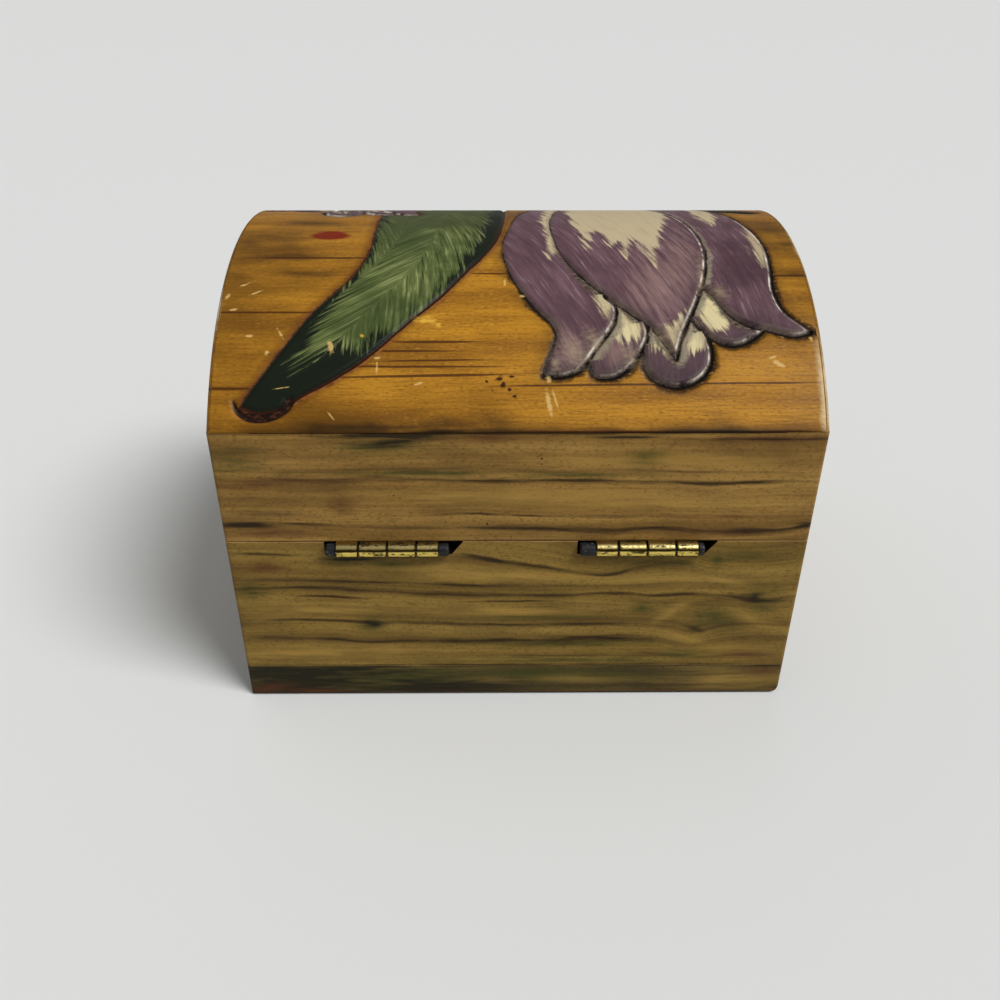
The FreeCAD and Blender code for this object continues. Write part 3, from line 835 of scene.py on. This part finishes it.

# Paint and varnish of the top. Honey-coloured varnish over pine, smoked brown in places; plum tulips
# with cream at the heart and dark green leaves feathered with light strokes, all brushed by hand. The cuts
# are burnt dark, with painted shade along their lower rims and a painted highlight on rims facing the lamp.

TOP_MARKS = {
    "tan_and_shade": [(54, 22, 30, 36), (-56, 12, 16, 34), (0, -4, 60, 9), (-10, 56, 60, 6), (34, 52, 34, 8)],
    "smoke": [(38, 16.8, 13, 1.6), (38, 21.6, 15, 1.9), (47, 13, 8, 9), (36, 3.5, 15, 2.6),
              (-47, 7, 7, 5), (-48, 13, 5, 2.2), (-48, 22, 4, 1.4), (26, 52.2, 26, 1.9),
              (12, 51, 22, 1.7), (-24, 52, 30, 1.2), (36, -40, 16, 8), (-38, -44, 14, 7),
              (0, -50, 30, 3)],
    "grain": [(42.5, 30.8, 9.5, 0.2), (15.5, 36.7, 9.5, 0.22), (17, 38.4, 8.5, 0.18),
              (13, 40.1, 8.5, 0.2, 1), (17, 41.2, 14, 0.22), (14, 42.8, 19, 0.24, 1),
              (46.5, 45, 5, 0.25), (-26, 44.3, 27, 0.2, 0.6), (-46.5, 22.4, 5, 0.25),
              (35, 17.4, 12, 0.3), (4.5, 21.8, 4, 0.25), (-16, 52.3, 36, 0.3), (30, -31, 16, 0.3),
              (-30, -40, 17, 0.3, 1), (5, -47, 22, 0.3)],
    "soot": [(12, 52, 21, 0.7), (19, 51.5, 12, 0.9), (-30, 52.3, 16, 0.4)],
    "chip": [(46, 24.6, 1.2, 0.26, 30), (43.8, 26.4, 1.4, 0.18, 28), (48.6, 27.4, 0.8, 0.35, 60),
             (47.2, 30.2, 0.9, 0.24, 10), (43.9, 35.5, 0.7, 0.32), (39, 35, 1.2, 0.26, 120),
             (40.9, 38.6, 0.5, 0.32, 80), (23, 39.6, 0.55, 0.3), (22.9, 41.4, 0.2, 1.3),
             (30.6, 37.6, 0.5, 1.3, 12), (38.2, 44.9, 1.2, 0.12, 8), (30, 49.6, 0.9, 0.14, 130),
             (16.4, 44.3, 1, 0.18, 20), (2.1, 24.2, 0.24, 0.9), (-0.9, 27.1, 0.8, 0.32, 40),
             (-4.9, 43.3, 0.5, 0.8, 10), (-4.9, 47.6, 0.42, 2.4, 10), (-5.9, 46.8, 0.22, 1.8, 16),
             (-42.4, 40.8, 1.4, 0.5, 150), (-41.6, 39.6, 0.8, 0.32, 20), (-48.2, 36.2, 0.6, 0.32, 90)],
    "shade": [(-38, 18, 7, 17, 10), (-25.5, 41.5, 5, 3.5)],
    "mauve": [(-24.5, 24, 6.5, 10, -15), (-9.2, 38.5, 3.5, 5, 25), (-16.5, 38.5, 4, 4.5, 20),
              (-29, 15, 3, 8, -5)],
    "scuff": [(-34.2, 26.4, 1.4, 2.2, 30), (-6, 40.6, 1, 1.6, 10), (-9.2, 38.6, 2.2, 3.2, 25),
              (-14.8, 31, 0.8, 3.4, 25), (-12.6, 36.4, 1.6, 2.6, 30), (-18.4, 39.4, 1.4, 2.2, 20),
              (-25.2, 35.4, 2.4, 2.6), (-31.6, 22, 0.7, 6, -6), (-42.4, 11, 0.7, 6, 2)],
    "worn_and_sheen": [(-49.3, 45, 0.9, 9), (-49.6, 12, 0.4, 8), (49.6, 30, 0.35, 6), (-30, 52.6, 18, 0.2)],
    "gold": [(15.2, 32.4, 2.2, 1, -8), (13.2, 33.4, 0.8, 0.6), (25.6, 35.5, 0.4, 0.45)],
    "red": [(33.4, 9.4, 3.7, 1.9)],
    "spot": [(3, 43.3, 0.6, 0.5, 20), (2.4, 44.4, 0.5, 0.6), (0.6, 46.3, 0.4, 0.4), (1, 43, 0.5, 0.25),
             (1.4, 45.2, 0.35, 0.35), (5.1, 43.8, 0.3, 0.28), (4.2, 45.4, 0.22, 0.22)],
}

painted, add, _ = new_material("varnished and painted pine")
flat = add("Attribute", attribute_name="flat").outputs["Vector"]
arc = add("SeparateXYZ", flat).outputs["Y"]
stroke = add("Attribute", attribute_name="stroke").outputs["Vector"]
gap, own, bite, glint, hollow, bloom, leaf, patch, curl = (
    add("Attribute", attribute_name=name).outputs["Fac"]
    for name in ("gap", "own", "bite", "glint", "hollow", "bloom", "leaf", "patch", "curl")
)

# honey varnish: broad bands of deeper and paler wood, fine fibres and pores
band = add("TexNoise", flat, size=(50, 5, 1), Detail=3)
colour = add("ValToRGB", band, stops={0.28: "#7c5216", 0.44: "#9c6a1a", 0.58: "#b07b20", 0.75: "#885a17"})
fibre = add("TexNoise", flat, size=(7, 0.35, 1), Detail=4)
colour = tinted(add, colour, "#664010", fibre, 0.52, 0.3, 0.5)
pore = add("TexNoise", flat, size=(0.8, 0.3, 1), Detail=2)
colour = tinted(add, colour, "#57340e", pore, 0.44, 0.26, 0.65)
colour = tinted(add, colour, "#d09a40", pore, 0.57, 0.76, 0.4)
cloud = add("TexNoise", flat, size=(14, 6, 1), Detail=3)
grit = add("TexNoise", flat, size=(1.1, 0.6, 1), Detail=3)
drift = add("TexNoise", flat, size=(9, 0.9, 1), Detail=3)
ragged = add("MapRange", grit, 0.3, 0.7, -0.5, 0.5)
wander = add("MapRange", drift, 0.3, 0.7, -0.3, 0.3)
smudged = add("MapRange", cloud, 0.3, 0.7, -0.6, 0.3)


def marked(under, kind, tint, reach, core, strength, wobble):
    """Lays one kind of the top's marks over the colour under it."""
    shown = near_marks(add, flat, TOP_MARKS[kind], reach, core, strength, wobble)
    return add("MixRGB", shown, under, tint)


# broad darker tan: the wood's own at the ends of the arch, and painted shade along the crest and the lower
# margin
colour = marked(colour, "tan_and_shade", "#5a3a0e", 1.3, 0, 0.7, smudged)
colour = marked(colour, "smoke", "#452c0d", 1.2, 0, 0.8, smudged)
colour = marked(colour, "grain", "#3f1d08", 1.35, 0.75, 0.85, wander)
colour = marked(colour, "soot", "#1f170b", 1.4, 0.2, 0.9, smudged)

# leaf: dark green ground, light strokes that fan out from the rib, a red-brown burnt edge
PAINT_EDGE = (-0.04, 0.08)
feather = add("TexNoise", stroke, size=(0.6, 7, 0.4), Detail=5, Roughness=0.65)
comb = add("Math MULTIPLY_ADD", feather, 10.0, patch)
strokes = add("ValToRGB", feather, stops={0.3: "#222f1a", 0.43: "#465229", 0.56: "#676f3f", 0.7: "#9aa26f"})
strokes = tinted(add, strokes, "#33401f", cloud, 0.6, 0.4, 0.65)
strokes = tinted(add, strokes, "#343b16", arc, 14, -4, 0.75)
green = tinted(add, "#131a10", strokes, comb, 4.2, 5.6)
colour = tinted(add, colour, "#54290c", leaf, -1.7, -0.3, 0.6)
colour = tinted(add, colour, green, leaf, *PAINT_EDGE)

# tulip: plum paint in long brush strokes, cream dragged out into it from the heart
bristle = add("TexNoise", stroke, size=(0.8, 9, 0.4), Detail=6, Roughness=0.68)
plum = add("ValToRGB", bristle, stops={0.3: "#4b353c", 0.46: "#594047", 0.58: "#634850", 0.74: "#775b61"})
plum = tinted(add, plum, "#47323a", cloud, 0.62, 0.36, 0.35)
bloomy = add("TexNoise", stroke, size=(3, 11, 0.4), Detail=4, Roughness=0.6)
plum = tinted(add, plum, "#7f626a", bloomy, 0.48, 0.7, 0.4)
fleck = add("TexNoise", stroke, size=(0.4, 5, 0.4), Detail=3)
dry = add("MapRange", bloomy, 0.4, 0.58, 0, 0.6)
plum = tinted(add, plum, "#a48a8e", fleck, 0.56, 0.74, dry)
drag = add("Math MULTIPLY_ADD", bristle, 7.0, patch)
plum = tinted(add, plum, "#3b292f", arc, 33, 43, 0.6)
cream = tinted(add, "#b5a585", "#cdbf93", arc, 16, 28)
cream = tinted(add, cream, "#94805f", bristle, 0.5, 0.3, 0.45)
plum = marked(plum, "shade", "#37262c", 1.2, 0, 0.5, smudged)
streaky = add("MapRange", bristle, 0.65, 0.35, -0.7, 0.5)
plum = marked(plum, "mauve", "#967a70", 1.3, 0, 0.48, streaky)
petal = tinted(add, plum, cream, drag, 3.05, 3.9)
# painted shade beside the cuts
petal = tinted(add, petal, "#2f2127", hollow, 0, 1.0, 0.75)
on_petal = add("MapRange", bloom, *PAINT_EDGE)
smoked = add("MapRange", cloud, 0.35, 0.65, 0.15, 0.7)
colour = tinted(add, colour, "#3a230c", bloom, -2.8, -0.3, smoked)
colour = add("MixRGB", on_petal, colour, petal)

# the cuts: a scraped grey-brown floor, burnt black at the foot of each rim, with painted light and shade on
# both
rubbed = add("TexNoise", flat, size=(4, 4, 1), Detail=4, Roughness=0.7)
uneven = add("MapRange", rubbed, 0.3, 0.7, -0.5, 0.5)
floor_half = add("Math MULTIPLY_ADD", bite, 1.6, 0.3)
on_wood = add("Math MULTIPLY", floor_half, 0.65)
floor_half = add("MapRange", on_petal, 0, 1.0, on_wood, floor_half)
line_half = add("Math MULTIPLY_ADD", bite, 0.65, 0.03)
outer = add("Math SUBTRACT", 1.0, own)
cut = add("Math MULTIPLY_ADD", uneven, 0.35, gap)
torn_edge = add("Math ADD", uneven, gap)
in_floor = add("MapRange", bite, 0.15, 0.6, 0.3, 0.9)
in_floor = add("MapRange", add("Math DIVIDE", torn_edge, floor_half), 1.25, 0.75, 0, in_floor)
in_floor = add("Math MULTIPLY", in_floor, outer)
# floors that face the lamp are lighter, as painted light
lit_floor = add("Math MULTIPLY_ADD", glint, 0.35, grit)
scraped_and_lit = add("ValToRGB", lit_floor, stops={0.35: "#2e251d", 0.55: "#54493c", 0.8: "#8f8470"})
torn = add("ValToRGB", grit, stops={0.42: "#26170b", 0.58: "#452e14", 0.72: "#94774a"})
scraped_and_lit = add("MixRGB", on_petal, torn, scraped_and_lit)
rusty = add("ValToRGB", lit_floor, stops={0.35: "#2a120a", 0.55: "#54290f", 0.8: "#8f5a2a"})
leaf_side = add("Math GREATER_THAN", leaf, bloom)
cut_floor = add("MixRGB", leaf_side, scraped_and_lit, rusty)
colour = add("MixRGB", in_floor, colour, cut_floor)
# the black line is burnt, and widest on the lower rims as painted shadow
in_line = add("MapRange", add("Math DIVIDE", cut, line_half), 1.2, 0.7, 0, outer)
on_rim = add("MapRange", bite, 0.2, 0.55, 0.25, 1.0)
on_rim = add("MapRange", gap, 0.26, 0.12, 0, on_rim)
in_line = add("Math MAXIMUM", in_line, on_rim)
burnt_and_shadow = add("MixRGB", leaf_side, "#0f0a08", "#2d1409")
colour = add("MixRGB", in_line, colour, burnt_and_shadow)
inner = add("Math MULTIPLY", own, on_petal)
rolled = add("MapRange", bite, 0.3, 0.7, 0, 0.7)
rolled = add("MapRange", gap, 1.3, 0.4, 0, rolled)
rolled = add("MapRange", rubbed, 0.38, 0.58, 0, rolled)
rolled = add("Math MULTIPLY", rolled, inner)
colour = add("MixRGB", rolled, colour, "#6a5b50")
# a painted highlight: a pale line just inside the rims that face the lamp
RIM_PLACE, RIM_HALF, RIM_CORE = 0.4, 0.25, 0.06
off_rim = add("Math ABSOLUTE", add("Math SUBTRACT", gap, RIM_PLACE))
painted_rim_glint = add("MapRange", off_rim, RIM_HALF, RIM_CORE, 0, glint)
painted_rim_glint = add("MapRange", rubbed, 0.42, 0.6, 0, painted_rim_glint)
painted_rim_glint = add("Math MULTIPLY", painted_rim_glint, inner)
colour = add("MixRGB", painted_rim_glint, colour, "#ddd4c8")
colour = marked(colour, "scuff", "#98856c", 1.4, 0, 0.6, ragged)

# the dark curl of the leaf's tip, then wear with a painted sheen along the ends, chips, drops and dabs
curled = tinted(add, "#1c0e08", "#4a2c1a", grit, 0.5, 0.7)
colour = tinted(add, colour, curled, curl, -0.1, 0.12)
# wear along the edges, with a painted sheen on the end that faces the lamp
colour = marked(colour, "worn_and_sheen", "#d9c49a", 1.3, 0.1, 0.7, uneven)
colour = marked(colour, "chip", "#d0ae6c", 1.2, 0.5, 0.7, ragged)
colour = marked(colour, "gold", "#d0a238", 1.2, 0.2, 0.9, ragged)
steady = add("Math MULTIPLY", wander, 0.4)
colour = marked(colour, "red", "#6e1601", 1.15, 0.75, 0.95, steady)
colour = marked(colour, "spot", "#2c0a05", 1.2, 0.5, 0.95, ragged)

relief = add("MixRGB", on_petal, fibre, bristle)
relief = add("Math MULTIPLY_ADD", grit, 0.6, relief)
bump = add("Bump", 0.5, 0.12 * MM, Height=relief)
rough = add("MapRange", cloud, 0.3, 0.7, 0.36, 0.52)
shader = add("BsdfPrincipled", colour, Roughness=rough, Normal=bump, Specular_IOR_Level=0.1)
add("OutputMaterial", shader)

# the hollow, the feet and the end grain are plain wood
arch_rings = [
    {"points": [(-50, 60.4), (0, 59.6), (50, 60.8)], "line": [(0, 44, 0.4)]},
    {"points": [(-50, 66.2), (0, 65.4), (50, 66.4)], "faint": [(0, 44, 0.5)]},
    {"points": [(-50, 72), (0, 71.4), (50, 72.4)], "line": [(0, 44, 0.4)]},
]
arch_tones = ("#8a6630", "#9c763a", "#a98347", "#64461f")
arch_pine = varnished_pine("bare arch pine", "X", arch_tones, arch_rings, {})
top.data.materials.append(painted)
top.data.materials.append(arch_pine)
centres = values_of(top.data.polygons, "center")
normals = values_of(top.data.polygons, "normal")
outward = normals[:, 1] * centres[:, 1] + normals[:, 2] * (centres[:, 2] - dome_axis) > 0
skin = from_axis(centres) > dome_radius - 2 * KNIFE_DEPTH
skin &= outward & (np.abs(centres[:, 0]) < half_width - END_EASE / 8)
top.data.polygons.foreach_set("material_index", np.where(skin, 0, 1).astype(np.int32))
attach(top, "lid")
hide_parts("lid_domed_top")

# Plain pale floor, soft studio light and the camera at the photograph's viewing angle.

FLOOR_SIZE = 8.0
scene = bpy.context.scene
bpy.ops.object.select_all(action="DESELECT")
bpy.ops.mesh.primitive_plane_add(size=FLOOR_SIZE)
floor = bpy.context.object
floor.name = "floor"
backdrop, add, _ = new_material("matt pale floor")
shader = add("BsdfPrincipled", "#d2d3d2", Roughness=0.9)
add("OutputMaterial", shader)
floor.data.materials.append(backdrop)

# two soft suns: strength, spread in degrees and the way to each; the weak one makes no highlights
SUNS = {"soft_key": (3.0, 28, (-0.5, 0.34, 0.8)), "soft_fill": (0.4, 90, (0.4, -0.7, 0.6))}
for name, (strength, spread, towards) in SUNS.items():
    sun = bpy.data.lights.new(name, "SUN")
    sun.energy = strength
    sun.angle = math.radians(spread)
    light = bpy.data.objects.new(name, sun)
    scene.collection.objects.link(light)
    light.rotation_euler = Vector(towards).to_track_quat("Z", "Y").to_euler()
    light.visible_glossy = name == "soft_key"

world = bpy.data.worlds.new("studio")
world.use_nodes = True
world.node_tree.nodes.clear()
add = partial(add_to, world.node_tree)
add("OutputWorld", add("Background", "#f4f4f2", 0.3))
scene.world = world

CAMERA_PLACE = Vector((4.08, 176.59, 120.64)) * MM
LOOK_DOWN, LOOK_ASIDE, CAMERA_ROLL = (math.radians(a) for a in (30.578, -0.482, 0.107))
SENSOR = 36.0
FOCAL_SHARE = 0.9179
camera_data = bpy.data.cameras.new("camera")
camera_data.sensor_width = SENSOR
camera_data.lens = FOCAL_SHARE * SENSOR
camera_data.clip_start = 0.01
camera = bpy.data.objects.new("camera", camera_data)
scene.collection.objects.link(camera)
turn = Matrix.Rotation(LOOK_ASIDE + math.pi, 4, "Z")
turn = turn @ Matrix.Rotation(math.pi / 2 - LOOK_DOWN, 4, "X") @ Matrix.Rotation(CAMERA_ROLL, 4, "Z")
camera.matrix_world = Matrix.Translation(CAMERA_PLACE) @ turn
scene.camera = camera
scene.view_settings.view_transform = "Standard"
